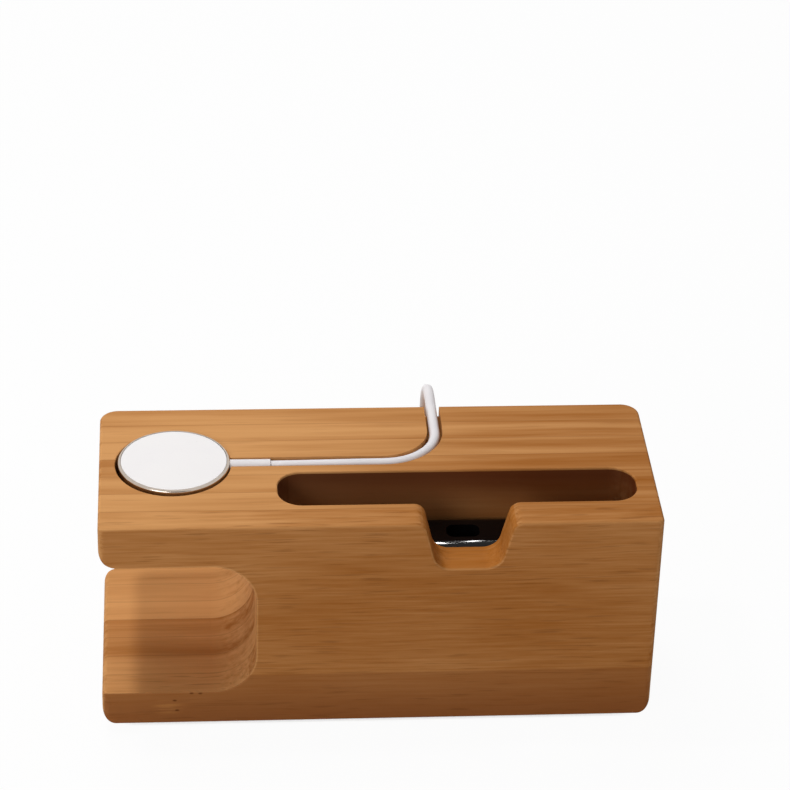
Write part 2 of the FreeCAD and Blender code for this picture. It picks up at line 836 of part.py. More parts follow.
def plug(start):
    """A plug that lies flat on the table: boot, overmould, metal shell, tongue and contacts."""
    x, y, z = (round(number, 3) for number in start)
    boot = doc.addObject("Part::Cone", "boot")
    bind(boot, Radius1="boot_end_diameter / 2", Radius2="boot_diameter / 2", Height="boot_length")
    place(boot, x, y, z, Z_TO_MINUS_X)

    back_x = f"{x} - boot_length"
    face_x = f"{back_x} - overmould_length"
    blank = box(
        "overmould_box",
        "overmould_length",
        "overmould_width",
        "overmould_height",
        face_x,
        f"{y} - overmould_width / 2",
        f"{z} - overmould_height / 2",
    )

    def lengthwise_radius(edge):
        return value("overmould_round") if runs_along(edge, ALONG_X) else None

    overmould = rounded("overmould", blank, lengthwise_radius)

    tip_x = f"{face_x} - shell_length"
    shell_box = box(
        "shell_box",
        "shell_length",
        "shell_width",
        "shell_height",
        tip_x,
        f"{y} - shell_width / 2",
        f"{z} - shell_height / 2",
    )
    bore = box(
        "shell_bore",
        f"shell_length + {2 * OVERRUN}",
        "shell_width - 2 * shell_wall",
        "shell_height - 2 * shell_wall",
        f"{tip_x} - {OVERRUN}",
        f"{y} - shell_width / 2 + shell_wall",
        f"{z} - shell_height / 2 + shell_wall",
    )
    windows = [
        box(
            f"shell_window_{name}",
            "shell_window",
            "shell_window",
            f"shell_height + {2 * OVERRUN}",
            f"{face_x} - window_setback - shell_window",
            f"{y} + {step} * window_spacing / 2 - shell_window / 2",
            f"{z} - shell_height / 2 - {OVERRUN}",
        )
        for name, step in (("left", -1), ("right", 1))
    ]
    shell = cut("shell", shell_box, bore, *windows)

    tongue_z = f"{z} + shell_height / 2 - shell_wall - tongue_gap - tongue_height"
    tongue = box(
        "tongue",
        "tongue_length",
        "shell_width - 2 * shell_wall - 2 * tongue_gap",
        "tongue_height",
        f"{face_x} - tongue_length",
        f"{y} - shell_width / 2 + shell_wall + tongue_gap",
        tongue_z,
    )
    strips = [
        box(
            f"contact_{number + 1}",
            "contact_length",
            "contact_width",
            "contact_height",
            f"{face_x} - tongue_length",
            f"{y} + ({number} - (contact_count - 1) / 2) * contact_pitch - contact_width / 2",
            f"{tongue_z} - contact_height",
        )
        for number in range(int(value("contact_count")))
    ]
    contacts = doc.addObject("Part::Compound", "contacts")
    contacts.Links = strips
    return [
        ("plug_boot", boot),
        ("plug_overmould", overmould),
        ("plug_shell", shell),
        ("plug_tongue", tongue),
        ("plug_contacts", contacts),
    ]


def export(pieces):
    """Checks the whole document, then writes each piece to its file."""
    doc.recompute()
    for item in doc.Objects:
        if "Invalid" in item.State or "Error" in item.State:
            raise RuntimeError(f"{item.Name} failed: {item.State}")
    for label, item in pieces:
        if item.Shape.isNull() or not item.Shape.isValid():
            raise RuntimeError(f"{label} has no valid shape")
        item.Label = label
    os.makedirs("parts", exist_ok=True)
    for label, item in pieces:
        item.Shape.exportStep(f"parts/{item.Label}.step")


export(bamboo_staves() + connector_insert() + foot_pads() + charging_puck() + lead())
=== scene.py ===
"""Looks of a bamboo charging station: finishes of its pieces, its lead as one cord, light and camera.

Metres, in the frame of the solids: +X runs along the body to the right, +Y to the back, +Z up, and the
table is at Z = 0. Sizes written in millimetres are turned into metres where they are used.
"""

import math

import bpy
from mathutils import Matrix, Vector


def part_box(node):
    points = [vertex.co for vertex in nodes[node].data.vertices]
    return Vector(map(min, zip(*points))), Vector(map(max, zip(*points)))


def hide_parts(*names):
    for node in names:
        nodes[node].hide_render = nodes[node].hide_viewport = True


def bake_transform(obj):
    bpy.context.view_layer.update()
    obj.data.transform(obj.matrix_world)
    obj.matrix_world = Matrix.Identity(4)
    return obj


MM = 0.001

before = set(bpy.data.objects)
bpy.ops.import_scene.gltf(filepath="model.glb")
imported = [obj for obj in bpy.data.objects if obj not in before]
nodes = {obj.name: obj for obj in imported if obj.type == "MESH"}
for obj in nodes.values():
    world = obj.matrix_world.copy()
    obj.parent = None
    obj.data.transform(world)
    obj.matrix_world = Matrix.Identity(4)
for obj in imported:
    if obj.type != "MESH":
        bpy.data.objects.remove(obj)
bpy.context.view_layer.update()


# Camera

FOCAL_PX = 3141.0
IMAGE_PX = 790
SENSOR_MM = 36.0
CAMERA_PLACE = Vector((-50.3, -662.5, 498.4)) * MM
CAMERA_YAW = math.radians(-4.70)
CAMERA_PITCH = math.radians(32.05)
CAMERA_ROLL = math.radians(1.76)
# The nearest and the farthest that it sees, in metres.
CAMERA_CLIP = (0.05, 20.0)


def add_object(name, data):
    """A new object in the scene."""
    made = bpy.data.objects.new(name, data)
    bpy.context.scene.collection.objects.link(made)
    return made


def make_camera():
    """The camera, looking down at the front of the body and slightly rolled."""
    right = Vector((math.cos(CAMERA_YAW), math.sin(CAMERA_YAW), 0))
    level = math.cos(CAMERA_PITCH)
    drop = -math.sin(CAMERA_PITCH)
    ahead = Vector((-math.sin(CAMERA_YAW) * level, math.cos(CAMERA_YAW) * level, drop))
    up = right.cross(ahead)
    rolled_right = right * math.cos(CAMERA_ROLL) + up * math.sin(CAMERA_ROLL)
    rolled_up = up * math.cos(CAMERA_ROLL) - right * math.sin(CAMERA_ROLL)
    data = bpy.data.cameras.new("camera")
    data.sensor_width = SENSOR_MM
    data.lens = FOCAL_PX / IMAGE_PX * SENSOR_MM
    data.clip_start, data.clip_end = CAMERA_CLIP
    camera = add_object("camera", data)
    turned = Matrix((rolled_right, rolled_up, -ahead)).transposed().to_4x4()
    turned.translation = CAMERA_PLACE
    camera.matrix_world = turned
    bpy.context.scene.camera = camera


# Shader building blocks

# Kinds of noise: how many finer layers lie on the coarsest, and how strong each is against the one before.
SOFT_NOISE = (2.0, 0.5)
BAND_NOISE = (3.0, 0.55)
ROUGH_NOISE = (3.0, 0.6)
DASH_NOISE = (1.0, 0.4)
# Noise runs from 0 to 1, but most of it lies between these numbers, and almost all between the next.
NOISE_CORE = (0.3, 0.7)
NOISE_SPREAD = (0.2, 0.8)
# Sockets of a node that mixes colours, which are known by number alone.
MIX_SHARE, MIX_FIRST, MIX_SECOND, MIX_RESULT = 0, 6, 7, 2
WHITE = (1.0, 1.0, 1.0, 1.0)


def srgb(red, green, blue):
    """A colour given as it looks on a screen, 0 to 255, as linear numbers on the curve of that standard."""
    def linear(level):
        share = level / 255
        return share / 12.92 if share <= 0.04045 else ((share + 0.055) / 1.055) ** 2.4
    return (linear(red), linear(green), linear(blue), 1.0)


class Graph:
    """A material's nodes, added one call at a time."""

    def __init__(self, name):
        self.material = bpy.data.materials.new(name)
        self.material.use_nodes = True
        self.tree = self.material.node_tree
        self.tree.nodes.clear()

    def node(self, kind, sockets=None, **settings):
        """A node with its settings, and its sockets set to numbers or linked to outputs."""
        made = self.tree.nodes.new(kind)
        for key, setting in settings.items():
            setattr(made, key, setting)
        for key, source in (sockets or {}).items():
            if isinstance(source, bpy.types.NodeSocket):
                self.tree.links.new(source, made.inputs[key])
            else:
                made.inputs[key].default_value = source
        return made

    def place(self):
        """The point of the surface, in the frame of the solids."""
        return self.node("ShaderNodeTexCoord").outputs["Object"]

    def facing(self):
        """The X, Y and Z of the direction that the surface faces, in the frame of the solids."""
        return self.apart(self.node("ShaderNodeTexCoord").outputs["Normal"])

    def apart(self, vector):
        """The X, Y and Z of a vector."""
        return self.node("ShaderNodeSeparateXYZ", {"Vector": vector}).outputs

    def maths(self, operation, first, second=0.0):
        """An operation on one or two numbers."""
        return self.node("ShaderNodeMath", {0: first, 1: second}, operation=operation).outputs[0]

    def noise(self, vector, stretch, layers=SOFT_NOISE, shift=(0.0, 0.0, 0.0)):
        """Noise of some kind with so many swings in a metre along X, Y and Z."""
        where = self.node("ShaderNodeMapping", {"Vector": vector, "Location": shift, "Scale": stretch})
        detail, roughness = layers
        sockets = {"Vector": where.outputs[0], "Scale": 1.0, "Detail": detail, "Roughness": roughness}
        return self.node("ShaderNodeTexNoise", sockets).outputs["Fac"]

    def ranged(self, value, low, high, to_low=0.0, to_high=1.0):
        """A number carried smoothly from one range to another."""
        sockets = {"Value": value, "From Min": low, "From Max": high, "To Min": to_low, "To Max": to_high}
        return self.node("ShaderNodeMapRange", sockets, interpolation_type="SMOOTHSTEP").outputs[0]

    def mixed(self, share, first, second):
        """Two colours mixed, with so much of the second."""
        sockets = {MIX_SHARE: share, MIX_FIRST: first, MIX_SECOND: second}
        return self.node("ShaderNodeMix", sockets, data_type="RGBA").outputs[MIX_RESULT]

    def bump(self, height, depth, strength):
        """A normal from a height of 0 to 1 that stands for so many millimetres."""
        sockets = {"Height": height, "Distance": depth * MM, "Strength": strength}
        return self.node("ShaderNodeBump", sockets).outputs[0]

    def surface(self, **sockets):
        """The material's surface. Words in socket names are joined with underscores."""
        named = {key.replace("_", " "): source for key, source in sockets.items()}
        shader = self.node("ShaderNodeBsdfPrincipled", named)
        self.node("ShaderNodeOutputMaterial", {"Surface": shader.outputs[0]})
        return self.material


def finish_with(piece, material):
    """Gives a piece one material."""
    piece.data.materials.clear()
    piece.data.materials.append(material)


def swung(graph, noise, amount):
    """Noise as a swing about zero."""
    return graph.maths("MULTIPLY", graph.maths("SUBTRACT", noise, 0.5), amount)


def total(graph, *values):
    """Several numbers added up."""
    result = values[0]
    for value in values[1:]:
        result = graph.maths("ADD", result, value)
    return result


def product(graph, *values):
    """Several numbers multiplied."""
    result = values[0]
    for value in values[1:]:
        result = graph.maths("MULTIPLY", result, value)
    return result


def rest_of(graph, share):
    """What a share leaves of 1."""
    return graph.maths("SUBTRACT", 1.0, share)


def between(graph, value, limits, first, second):
    """A number that passes smoothly from a first to a second over a stretch of millimetres."""
    return graph.ranged(value, limits[0] * MM, limits[1] * MM, first, second)


def within(graph, value, limits):
    """1 between two limits in millimetres, 0 outside them."""
    above = graph.maths("GREATER_THAN", value, limits[0] * MM)
    below = graph.maths("LESS_THAN", value, limits[1] * MM)
    return product(graph, above, below)


def length_of(graph, run, rise):
    """The length of a step that runs and rises so far."""
    squared = graph.maths("ADD", product(graph, run, run), product(graph, rise, rise))
    return graph.maths("SQRT", squared)


# Bamboo

PALE_BAMBOO = srgb(212, 155, 98)
DEEP_BAMBOO = srgb(150, 84, 20)
FIBRE_BROWN = srgb(96, 52, 18)
BAMBOO_ROUGHNESS = (0.48, 0.64)
BAMBOO_SPECULAR = 0.04
BAMBOO_RELIEF = 0.02
BAMBOO_BUMP = 0.5
# Glue lines show between the staves. The body's own front and back have none: theirs is counted this many
# metres off.
GLUE_WIDTH = 0.3
GLUE_BROWN = 0.22
GLUE_OFF = 1.0
# Each stave, front to back: its depth of colour at its left and right ends, from 0 for pale to 1 for deep,
# how much deeper its foot is, as painted shade under the deck, and where joints of the cane cross it.
STAVES = [
    (0.58, 0.64, 0.0, []),
    (0.15, 0.62, 0.28, []),
    (0.36, 0.62, 0.05, [34.0]),
    (0.46, 0.62, 0.04, []),
    (0.14, 0.50, 0.0, []),
    (0.18, 0.52, 0.0, [-12.0, 62.0]),
    (0.32, 0.60, 0.0, []),
]
# The noise of each stave is moved by its number times this, so that no two are alike.
STAVE_SHIFT = (3.7, 11.3, 5.1)
# Over this stretch of X the colour passes from the left end's depth to the right end's.
DRIFT = (-45.0, 62.0)
# Over this stretch of Z the foot's painted shade fades.
FOOT_SHADE_FADE = (13.0, 26.0)
# Near a joint of the cane there are more dashes: how far along X that fades, and how strong it is.
JOINT_REACH = (0.5, 6.0)
JOINT_DASHES = 0.10
# Slow unevenness of the colour: swings in a metre along X, Y and Z, and how strong it is.
CLOUDS = (14.0, 40.0, 30.0)
CLOUD_SWING = 0.45
# The fibres sway a little: swings in a metre along X, Y and Z, and how far in millimetres.
SWAY = (24.0, 50.0, 50.0)
SWAY_REACH = 2.0
# The front stave turns the skin of the cane to the front: how deep the front face is counted, and the Y of
# the directions that the skin faces. Behind the skin the stave is paler towards the left.
SKIN = 2.0
SKIN_FACING = (-0.9, -0.4)
FRONT_PALER = 0.30
FRONT_PALER_REACH = (-62.0, -5.0)
# On its rounded edges, which face halfway to the front, it has a painted highlight: the Y of the directions
# over which the highlight starts and ends, how it goes with the clouds, and how strong it is.
EDGE_STARTS = (-0.99, -0.8)
EDGE_ENDS = (-0.5, -0.1)
EDGE_CLOUDS = (0.35, 0.6)
EDGE_SHARES = (0.3, 1.0)
EDGE_HIGHLIGHT = 0.20
# The front stave is pressed from two strips. The lower one ends at this height, and its skin is browner,
# most of all at its foot, and the rest of it paler.
LOWER_STRIP_TOP = 16.6
LOWER_STRIP_BLUR = (0.4, 0.3)
LOWER_STRIP_BROWN = srgb(141, 84, 43)
LOWER_STRIP_FADE = (3.0, 16.0)
LOWER_STRIP_SHARES = (0.86, 0.52)
LOWER_STRIP_PALER = 0.30
# X and Z of a joint of the cane in the lower strip's skin, its reach, the parts of that over which it
# fades, how pale it is, in which of the streaks, and the pits that it leaves.
KNOT = (-53.5, 7.0)
KNOT_REACH = (5.5, 3.2)
KNOT_FADE = (0.2, 1.0)
KNOT_PALER = 0.8
KNOT_STREAKS = (0.46, 0.60)
PITS = [(-51.7, 8.9), (-51.1, 5.8), (-47.4, 11.1), (-45.2, 11.0)]
PIT_REACH = (0.62, 0.34)
PIT_FADE = (0.3, 1.3)
PIT_BROWN = 0.85
# Painted shade in the milled slot, darkest near its mouth: its stretches of X and Y, its top, and the
# stretch of Z over which it darkens.
SHADED_SLOT_X = (-25.5, 65.0)
SHADED_SLOT_Y = (-17.75, -2.85)
SHADED_SLOT_TOP = 60.9
SLOT_SHADE_RISE = (47.0, 60.0)
SLOT_SHADE_SHARES = (0.30, 0.88)
SLOT_SHADE_COLOUR = srgb(85, 37, 19)
# The notch in the front wall is painted deeper and golden, a painted shade: its stretches of X and Z.
NOTCH_X = (9.0, 34.2)
NOTCH_Z = (40.0, 60.8)
NOTCH_SHADE_GOLD = srgb(166, 98, 30)
NOTCH_SHADE_SHARE = 0.55
# The edge of the shelf's gap on the front face has a painted highlight: the gap's right end, lower and
# upper side, its corner radius, and how far the highlight reaches.
GAP_END = -31.0
GAP_SIDES = (11.5, 50.0)
GAP_CORNER = 11.0
GAP_HIGHLIGHT_REACH = 0.55
GAP_HIGHLIGHT = 0.30
# Where a surface cuts across the fibres, their torn ends show as mottles: the share of X in the direction
# that such a surface faces, the mottles' swings in a metre along X, Y and Z, and how strong they are.
END_FACING = (0.10, 0.40)
MOTTLES = (420.0, 520.0, 420.0)
MOTTLE_SWING = 0.75
MOTTLE_RELIEF = 4.0


class Grain:
    """A stave's bands, streaks and dashes: swings of each in a metre along X, Y and Z, and its strength."""

    def __init__(self, bands, band_swing, streaks, streak_swing, dashes, dash_brown):
        self.bands = bands
        self.band_swing = band_swing
        self.streaks = streaks
        self.streak_swing = streak_swing
        self.dashes = dashes
        self.dash_brown = dash_brown


# On the front stave's skin the fibres show as fine short dashes.
FRONT_GRAIN = Grain(
    bands=(6.0, 300.0, 22.0),
    band_swing=0.45,
    streaks=(45.0, 700.0, 1300.0),
    streak_swing=0.48,
    dashes=(90.0, 1250.0, 1700.0),
    dash_brown=0.30,
)
INNER_GRAIN = Grain(
    bands=(10.0, 230.0, 22.0),
    band_swing=1.02,
    streaks=(13.0, 480.0, 420.0),
    streak_swing=0.38,
    dashes=(60.0, 1250.0, 1050.0),
    dash_brown=0.10,
)
# Only the strongest of the noise shows as dashes.
DASH_NOISE_SHOWN = (0.58, 0.76)


def oval_distance(graph, spot, middle, reach):
    """The distance from the middle of an oval on the front, which is 1 on its outline."""
    run = graph.maths("DIVIDE", graph.maths("SUBTRACT", spot["X"], middle[0] * MM), reach[0] * MM)
    rise = graph.maths("DIVIDE", graph.maths("SUBTRACT", spot["Z"], middle[1] * MM), reach[1] * MM)
    return length_of(graph, run, rise)


def gap_distance(graph, spot):
    """The distance from the outline of the shelf's gap, seen from the front."""
    low, high = GAP_SIDES
    past_end = graph.maths("SUBTRACT", spot["X"], (GAP_END - GAP_CORNER) * MM)
    off_middle = graph.maths("ABSOLUTE", graph.maths("SUBTRACT", spot["Z"], (low + high) / 2 * MM))
    past_side = graph.maths("SUBTRACT", off_middle, ((high - low) / 2 - GAP_CORNER) * MM)
    run = graph.maths("MAXIMUM", past_end, 0.0)
    rise = graph.maths("MAXIMUM", past_side, 0.0)
    outside = graph.maths("SUBTRACT", length_of(graph, run, rise), GAP_CORNER * MM)
    return graph.maths("ABSOLUTE", outside)


def joint_nearness(graph, spot, middle):
    """1 at a joint of the cane, 0 some way along X from it."""
    offset = graph.maths("SUBTRACT", spot["X"], middle * MM)
    return between(graph, graph.maths("ABSOLUTE", offset), JOINT_REACH, 1.0, 0.0)


def swayed(graph, place, spot, shift):
    """The place, moved a little across the fibres."""
    step = swung(graph, graph.noise(place, SWAY, SOFT_NOISE, shift), SWAY_REACH * MM)
    moved = {
        "X": spot["X"],
        "Y": graph.maths("ADD", spot["Y"], step),
        "Z": graph.maths("ADD", spot["Z"], step),
    }
    return graph.node("ShaderNodeCombineXYZ", moved).outputs[0]


def near_front(graph, spot):
    """1 close to the front face, 0 behind it."""
    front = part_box("bamboo_stave_1")[0].y
    return graph.maths("LESS_THAN", spot["Y"], front + SKIN * MM)


def skin_share(graph, spot):
    """1 on the skin, which faces the front, and 0 on other faces."""
    to_front = graph.ranged(graph.facing()["Y"], *SKIN_FACING, 1.0, 0.0)
    return product(graph, near_front(graph, spot), to_front)


def edge_share(graph, spot):
    """1 on the rounded edges of the front, and 0 on the flat faces beside them."""
    facing = graph.facing()["Y"]
    off_front = graph.ranged(facing, *EDGE_STARTS)
    to_front = graph.ranged(facing, *EDGE_ENDS, 1.0, 0.0)
    return product(graph, near_front(graph, spot), off_front, to_front)


def end_share(graph):
    """1 where the surface cuts across the fibres, 0 where it runs along them."""
    across = graph.maths("ABSOLUTE", graph.facing()["X"])
    return graph.ranged(across, *END_FACING)


def low_strip(graph, spot):
    """1 in the lower strip of the front stave, 0 above it."""
    under, over = LOWER_STRIP_BLUR
    return between(graph, spot["Z"], (LOWER_STRIP_TOP - under, LOWER_STRIP_TOP + over), 1.0, 0.0)


def paler_front_with_highlights(graph, spot, skin, clouds):
    """How much paler the front stave is: behind its skin, and with painted highlights at its edges."""
    inside = between(graph, spot["X"], FRONT_PALER_REACH, FRONT_PALER, 0.0)
    low = product(graph, low_strip(graph, spot), LOWER_STRIP_PALER)
    behind = product(graph, rest_of(graph, skin), graph.maths("MAXIMUM", inside, low))
    # painted highlight along the gap's edge on the front face
    gap_highlight = between(graph, gap_distance(graph, spot), (0.0, GAP_HIGHLIGHT_REACH), GAP_HIGHLIGHT, 0.0)
    uneven = graph.ranged(clouds, *EDGE_CLOUDS, *EDGE_SHARES)
    # painted highlight on the rounded front edges
    edge_highlight = product(graph, edge_share(graph, spot), uneven, EDGE_HIGHLIGHT)
    return total(graph, behind, product(graph, skin, gap_highlight), edge_highlight)


def lower_skin(graph, spot, skin, streaks):
    """How brown the lower strip's skin is, less at the joint of the cane."""
    knot = graph.ranged(oval_distance(graph, spot, KNOT, KNOT_REACH), *KNOT_FADE, KNOT_PALER, 0.0)
    light = product(graph, knot, graph.ranged(streaks, *KNOT_STREAKS))
    share = between(graph, spot["Z"], LOWER_STRIP_FADE, *LOWER_STRIP_SHARES)
    return product(graph, low_strip(graph, spot), skin, rest_of(graph, light), share)


def pitted(graph, spot, skin):
    """How dark the pits make the skin."""
    ovals = [oval_distance(graph, spot, middle, PIT_REACH) for middle in PITS]
    pits = total(graph, *(graph.ranged(oval, *PIT_FADE, PIT_BROWN, 0.0) for oval in ovals))
    return product(graph, pits, skin)


def slot_shade(graph, spot):
    """How much painted shade the slot has."""
    inside = product(graph, within(graph, spot["X"], SHADED_SLOT_X), within(graph, spot["Y"], SHADED_SLOT_Y))
    below = graph.maths("LESS_THAN", spot["Z"], SHADED_SLOT_TOP * MM)
    shade_by_height = between(graph, spot["Z"], SLOT_SHADE_RISE, *SLOT_SHADE_SHARES)
    return product(graph, inside, below, shade_by_height)


def notch_shade(graph, spot, skin):
    """How much painted shade, deep and golden, the notch's surface has."""
    inside = product(graph, within(graph, spot["X"], NOTCH_X), within(graph, spot["Z"], NOTCH_Z))
    return product(graph, inside, rest_of(graph, skin), NOTCH_SHADE_SHARE)


def bamboo(number, left, right, foot, joints, low_y, high_y):
    """One stave's bamboo: long fibres along X that show as dashes on its sides and dots on its ends."""
    graph = Graph(f"bamboo_{number}")
    place = graph.place()
    spot = graph.apart(place)
    shift = tuple(number * step for step in STAVE_SHIFT)
    grain = FRONT_GRAIN if number == 1 else INNER_GRAIN
    fibres = swayed(graph, place, spot, shift)
    bands = graph.noise(fibres, grain.bands, BAND_NOISE, shift)
    streaks = graph.noise(fibres, grain.streaks, ROUGH_NOISE, shift)
    dashes = graph.noise(fibres, grain.dashes, DASH_NOISE, shift)
    clouds = graph.noise(place, CLOUDS, SOFT_NOISE, shift)
    mottles = graph.noise(place, MOTTLES, ROUGH_NOISE, shift)
    ends = end_share(graph)
    for middle in joints:
        more = product(graph, joint_nearness(graph, spot, middle), JOINT_DASHES)
        dashes = graph.maths("ADD", dashes, more)

    depth = total(
        graph,
        between(graph, spot["X"], DRIFT, left, right),
        # painted shade: deeper at the foot, where the shelf lies in the deck's shade
        between(graph, spot["Z"], FOOT_SHADE_FADE, foot, 0.0),
        swung(graph, bands, grain.band_swing),
        swung(graph, streaks, grain.streak_swing),
        swung(graph, clouds, CLOUD_SWING),
        product(graph, ends, swung(graph, mottles, MOTTLE_SWING)),
    )
    skin = skin_share(graph, spot)
    if number == 1:
        # paler behind the skin, with painted highlights on the front's edges
        depth = graph.maths("SUBTRACT", depth, paler_front_with_highlights(graph, spot, skin, clouds))
    colour = graph.mixed(graph.ranged(depth, 0.0, 1.0), PALE_BAMBOO, DEEP_BAMBOO)
    if number == 1:
        colour = graph.mixed(lower_skin(graph, spot, skin, streaks), colour, LOWER_STRIP_BROWN)
        colour = graph.mixed(pitted(graph, spot, skin), colour, FIBRE_BROWN)
    else:
        # painted shade inside the slot
        colour = graph.mixed(slot_shade(graph, spot), colour, SLOT_SHADE_COLOUR)
    if number <= 2:
        # painted shade in the notch
        colour = graph.mixed(notch_shade(graph, spot, skin), colour, NOTCH_SHADE_GOLD)

    to_front = graph.maths("SUBTRACT", spot["Y"], low_y)
    to_back = graph.maths("SUBTRACT", high_y, spot["Y"])
    to_glue = graph.maths("MINIMUM", to_front, to_back)
    glue = between(graph, to_glue, (0.0, GLUE_WIDTH), GLUE_BROWN, 0.0)
    dark = graph.ranged(dashes, *DASH_NOISE_SHOWN, 0.0, grain.dash_brown)
    brown = graph.maths("MAXIMUM", glue, dark)
    torn = product(graph, ends, mottles, MOTTLE_RELIEF)
    relief = graph.maths("ADD", graph.maths("SUBTRACT", streaks, dark), torn)
    return graph.surface(
        Base_Color=graph.mixed(brown, colour, FIBRE_BROWN),
        Roughness=graph.ranged(streaks, *NOISE_SPREAD, *BAMBOO_ROUGHNESS),
        Specular_IOR_Level=BAMBOO_SPECULAR,
        Normal=graph.bump(relief, BAMBOO_RELIEF, BAMBOO_BUMP),
    )


def dress_staves():
    """Gives each stave of the body its own bamboo."""
    for number, (left, right, foot, joints) in enumerate(STAVES, 1):
        name = f"bamboo_stave_{number}"
        low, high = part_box(name)
        low_y = low.y - GLUE_OFF if number == 1 else low.y
        high_y = high.y + GLUE_OFF if number == len(STAVES) else high.y
        finish_with(nodes[name], bamboo(number, left, right, foot, joints, low_y, high_y))


# Plastics, metals and the puck's inner pieces

# Slow unevenness of a plastic's colour: swings in a metre along X, Y and Z.
SLOW = (90.0, 90.0, 90.0)
PLASTIC_UNEVEN = 0.15
PLASTIC_BUMP = 0.5
# A metal's brushing: swings in a metre along X, Y and Z.
BRUSHING = (600.0, 600.0, 4000.0)
METAL_UNEVEN = 0.2
METAL_RELIEF = 0.002
METAL_BUMP = 0.3
# The puck's face: its white, its fine grain in swings in a metre, and the painted shadow line at its seam.
FACE_WHITE = srgb(244, 241, 240)
FACE_SHADE = srgb(242, 239, 239)
FACE_GRAIN = (1250.0, 1250.0, 1250.0)
FACE_ROUGHNESS = (0.27, 0.37)
FACE_RELIEF = 0.006
SEAM_SHADOW_GREY = srgb(112, 102, 96)
SEAM_SHADOW_WIDTH = 0.12
SEAM_SHADOW_SHARE = 0.4


def plastic(name, colour, shade, roughness, grain=0.4, relief=0.006, specular=0.5):
    """Moulded plastic or rubber with a faint unevenness of colour and a fine grain, whose size and relief
    are in millimetres."""
    graph = Graph(name)
    place = graph.place()
    swings = 1 / (grain * MM)
    fine = graph.noise(place, (swings, swings, swings))
    slow = graph.noise(place, SLOW)
    smoothest = roughness * (1 - PLASTIC_UNEVEN)
    roughest = roughness * (1 + PLASTIC_UNEVEN)
    return graph.surface(
        Base_Color=graph.mixed(graph.ranged(slow, *NOISE_CORE), colour, shade),
        Roughness=graph.ranged(fine, *NOISE_SPREAD, smoothest, roughest),
        Specular_IOR_Level=specular,
        Normal=graph.bump(fine, relief, PLASTIC_BUMP),
    )


def metal(name, colour, shade, roughness):
    """Metal with a fine brushing."""
    graph = Graph(name)
    lines = graph.noise(graph.place(), BRUSHING, ROUGH_NOISE)
    smoothest = roughness * (1 - METAL_UNEVEN)
    roughest = roughness * (1 + METAL_UNEVEN)
    return graph.surface(
        Base_Color=graph.mixed(graph.ranged(lines, *NOISE_CORE), colour, shade),
        Metallic=1.0,
        Roughness=graph.ranged(lines, *NOISE_SPREAD, smoothest, roughest),
        Normal=graph.bump(lines, METAL_RELIEF, METAL_BUMP),
    )


def white_with_seam_shadow():
    """The white of the puck's face, with a thin painted shadow line where it meets the metal."""
    graph = Graph("puck_white")
    place = graph.place()
    spot = graph.apart(place)
    low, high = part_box("puck_face")
    middle = (low + high) / 2
    run = graph.maths("SUBTRACT", spot["X"], middle.x)
    rise = graph.maths("SUBTRACT", spot["Y"], middle.y)
    rim = (high.x - low.x) / 2
    off_middle = length_of(graph, run, rise)
    # painted shadow line at the face's edge
    seam = graph.ranged(off_middle, rim - SEAM_SHADOW_WIDTH * MM, rim, 0.0, SEAM_SHADOW_SHARE)
    fine = graph.noise(place, FACE_GRAIN)
    slow = graph.noise(place, SLOW)
    white = graph.mixed(graph.ranged(slow, *NOISE_CORE), FACE_WHITE, FACE_SHADE)
    return graph.surface(
        Base_Color=graph.mixed(seam, white, SEAM_SHADOW_GREY),
        Roughness=graph.ranged(fine, *NOISE_SPREAD, *FACE_ROUGHNESS),
        Normal=graph.bump(fine, FACE_RELIEF, PLASTIC_BUMP),
    )


def insert_black():
    """The insert's polished black."""
    return plastic(
        "insert_black",
        srgb(11, 9, 9),
        srgb(14, 12, 12),
        roughness=0.05,
        grain=2.0,
        relief=0.0002,
        specular=0.2,
    )


def dress_small_pieces():
    """Gives every other solid its finish, and hands back the lead's white."""
    white = plastic("lead_white", srgb(235, 231, 232), srgb(228, 224, 226), 0.45)
    finishes = {
        "connector_insert": insert_black(),
        "puck_cup": metal("puck_metal", srgb(196, 184, 172), srgb(186, 174, 162), 0.20),
        "puck_face": white_with_seam_shadow(),
        "puck_board": plastic("board_green", srgb(24, 84, 50), srgb(18, 70, 40), 0.4),
        "puck_ferrite": plastic("ferrite_grey", srgb(52, 50, 50), srgb(44, 42, 42), 0.7),
        "puck_coil": metal("winding_copper", srgb(196, 112, 62), srgb(170, 92, 46), 0.3),
        "puck_magnet": metal("magnet_nickel", srgb(186, 184, 178), srgb(172, 170, 164), 0.2),
        "strain_relief": white,
        "coil_tie": plastic("tie_white", srgb(226, 225, 228), srgb(216, 215, 219), 0.6),
        "plug_boot": white,
        "plug_overmould": plastic("plug_white", srgb(236, 235, 236), srgb(230, 229, 231), 0.38),
        "plug_shell": metal("plug_steel", srgb(150, 150, 153), srgb(140, 140, 143), 0.30),
        "plug_tongue": plastic("tongue_white", srgb(226, 225, 222), srgb(218, 217, 213), 0.45),
        "plug_contacts": metal("contact_gold", srgb(214, 172, 92), srgb(200, 156, 76), 0.22),
    }
    rubber = plastic("pad_rubber", srgb(44, 43, 43), srgb(36, 35, 35), 0.75)
    for row in ("front", "back"):
        for side in ("left", "right"):
            finishes[f"foot_pad_{row}_{side}"] = rubber
    for name, material in finishes.items():
        finish_with(nodes[name], material)
    return white


# Lead

LEAD_DIAMETER = 2.7
LEAD_SIDES = 20
# Steps of the lead's line from one point of its route to the next.
LEAD_STEPS = 6
# The lead's route in its groove, from the sleeve to the back edge.
GROOVE_ROUTE = [
    (-26.8, 2.05, 60.2),
    (-15.5, 2.2, 60.2),
    (-3.8, 2.45, 60.2),
    (7.8, 2.5, 60.2),
    (16.0, 10.25, 60.2),
    (16.0, 22.0, 60.2),
]
